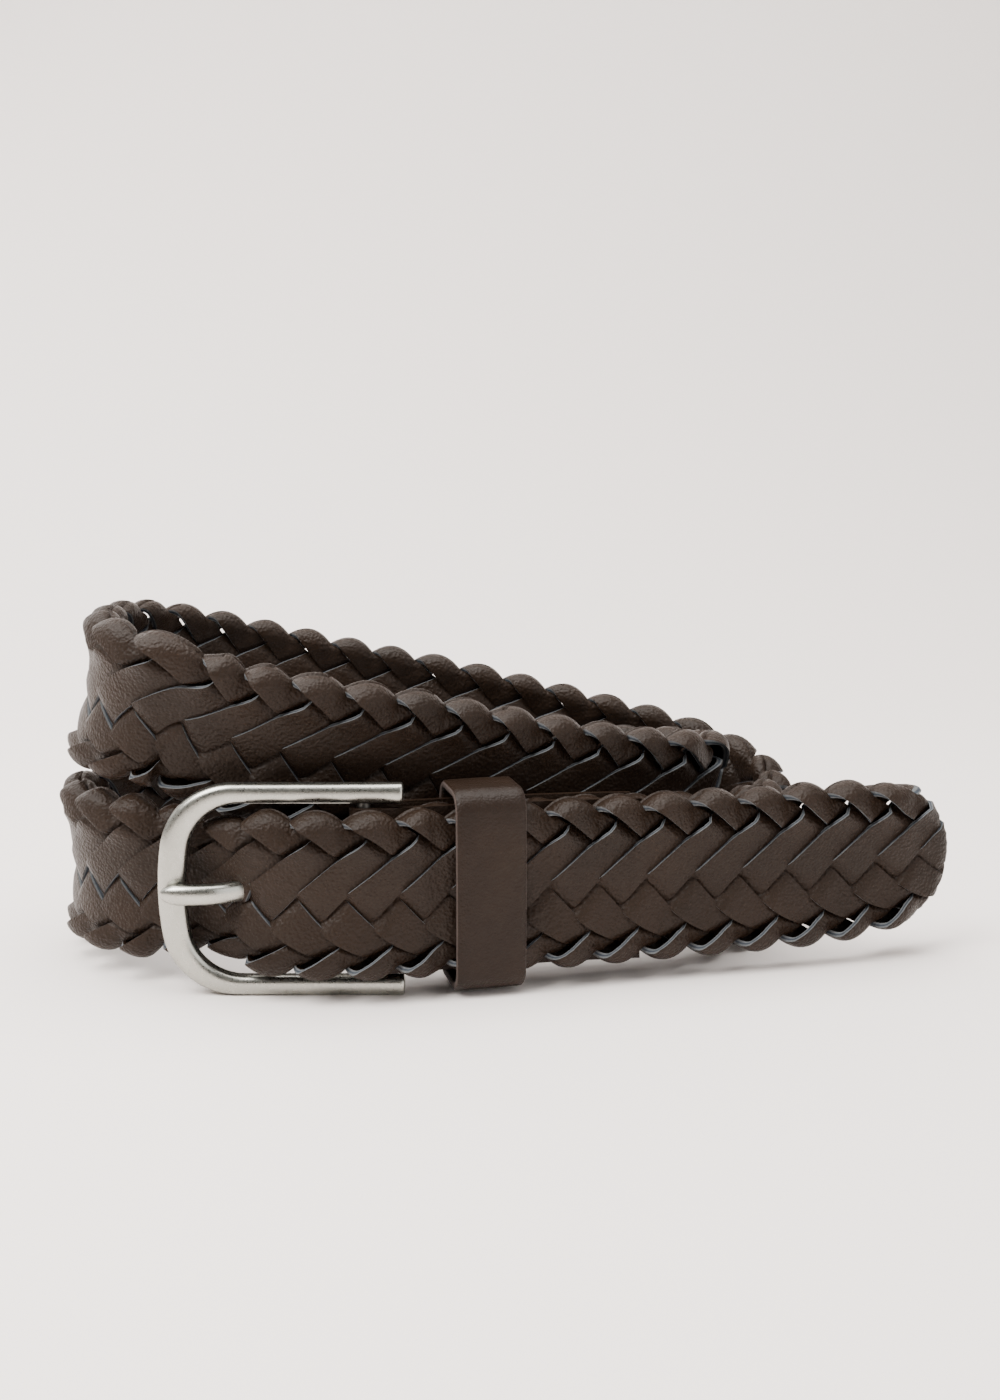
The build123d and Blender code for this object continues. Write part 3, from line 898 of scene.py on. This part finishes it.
# ---- stage, light and camera -------------------------------------------------
STAGE_WIDE = 2600.0
FLOOR_FRONT = -900.0
CURVE_FROM = 250.0
CURVE_R = 500.0
WALL_HIGH = 1800.0
BACKDROP = (0.895, 0.832, 0.798)
# painted shade: the floor's colour nearest the viewer, darkened to stand in for shade there and to
# darken the metal's reflections
PAINTED_SHADE_NEAR_FLOOR = (0.18, 0.17, 0.16)
FULL_PAINTED_SHADE_Y = -0.44          # metres; nearer the viewer than this the floor's colour is full painted shade
PAINTED_SHADE_GONE_Y = -0.22


def make_stage():
    """Pale floor that curves up into a wall behind; towards the viewer its colour darkens as
    painted shade, which the metal's reflections pick up.
    """
    profile = [(FLOOR_FRONT, 0.0), (CURVE_FROM, 0.0)]
    for k in range(1, 17):
        a = math.pi / 2 * k / 16
        profile.append((CURVE_FROM + CURVE_R * math.sin(a), CURVE_R * (1 - math.cos(a))))
    profile.append((CURVE_FROM + CURVE_R, WALL_HIGH))
    points = []
    for y, z in profile:
        points += [(-STAGE_WIDE / 2, y, z), (STAGE_WIDE / 2, y, z)]
    rows = len(profile)
    faces = np.array([(2 * i, 2 * i + 1, 2 * i + 3, 2 * i + 2) for i in range(rows - 1)])
    material, tree, shader = new_material("backdrop")
    where = coordinates(tree)
    split = tree.nodes.new("ShaderNodeSeparateXYZ")
    tree.links.new(where, split.inputs["Vector"])
    # painted shade: the floor's colour blends from the pale backdrop to the dark near colour
    # towards the viewer
    tone = ramp(tree, split.outputs["Y"], FULL_PAINTED_SHADE_Y, PAINTED_SHADE_GONE_Y)
    tree.links.new(blend_colour(tree, tone, PAINTED_SHADE_NEAR_FLOOR, BACKDROP), shader.inputs["Base Color"])
    shader.inputs["Roughness"].default_value = 0.9
    shader.inputs["Specular IOR Level"].default_value = 0.1
    obj = add_mesh("backdrop", np.array(points), faces, np.zeros(len(faces)), [material])


def area_light(name, where, target, size, power, colour):
    """Rectangular light; places in millimetres, size in metres, power in watts."""
    data = bpy.data.lights.new(name, "AREA")
    data.shape = "RECTANGLE"
    data.size, data.size_y = size
    data.energy = power
    data.color = colour
    obj = bpy.data.objects.new(name, data)
    bpy.context.scene.collection.objects.link(obj)
    aim(obj, where, target)


def aim(obj, where, target):
    """Places an object and turns it to face the target, both in millimetres."""
    obj.location = Vector(where) * MM
    look = Vector(target) * MM - obj.location
    obj.rotation_euler = look.to_track_quat("-Z", "Y").to_euler()


def make_world(colour, strength, dim):
    """Soft room light, dimmer on the viewer's side of the table."""
    world = bpy.data.worlds.new("world")
    bpy.context.scene.world = world
    world.use_nodes = True
    tree = world.node_tree
    background = tree.nodes["Background"]
    background.inputs["Color"].default_value = (*colour, 1)
    split = tree.nodes.new("ShaderNodeSeparateXYZ")
    direction = tree.nodes.new("ShaderNodeTexCoord").outputs["Generated"]
    tree.links.new(direction, split.inputs["Vector"])
    level = ramp(tree, split.outputs["Y"], -0.75, 0.2, dim, strength)
    tree.links.new(level, background.inputs["Strength"])


make_stage()
make_world((1.0, 0.975, 0.945), 0.93, 0.10)
area_light("key", (-420, -300, 620), (0, 20, 30), (0.45, 0.45), 12.0, (1.0, 0.98, 0.95))
area_light("fill", (520, -480, 260), (0, 20, 30), (0.6, 0.6), 2.4, (1.0, 0.99, 0.98))
area_light("top", (0, 60, 760), (0, 30, 20), (0.9, 0.7), 12.5, (1.0, 0.985, 0.965))
area_light("back_left", (-520, 420, 420), (0, 30, 40), (0.5, 0.5), 3.0, (1.0, 0.98, 0.96))

# Camera
PITCH_DOWN = math.radians(10.5)
DISTANCE = 363.3
TARGET = np.array([0.0, 0.0, 61.9]) + SHIFT
SENSOR = 36.0
LENS = 47.366
camera_data = bpy.data.cameras.new("camera")
camera_data.sensor_width = SENSOR
camera_data.lens = LENS
camera_data.clip_start = 0.01
camera = bpy.data.objects.new("camera", camera_data)
bpy.context.scene.collection.objects.link(camera)
behind = np.array([0.0, -math.cos(PITCH_DOWN), math.sin(PITCH_DOWN)]) * DISTANCE
aim(camera, TARGET + behind, TARGET)
bpy.context.scene.camera = camera
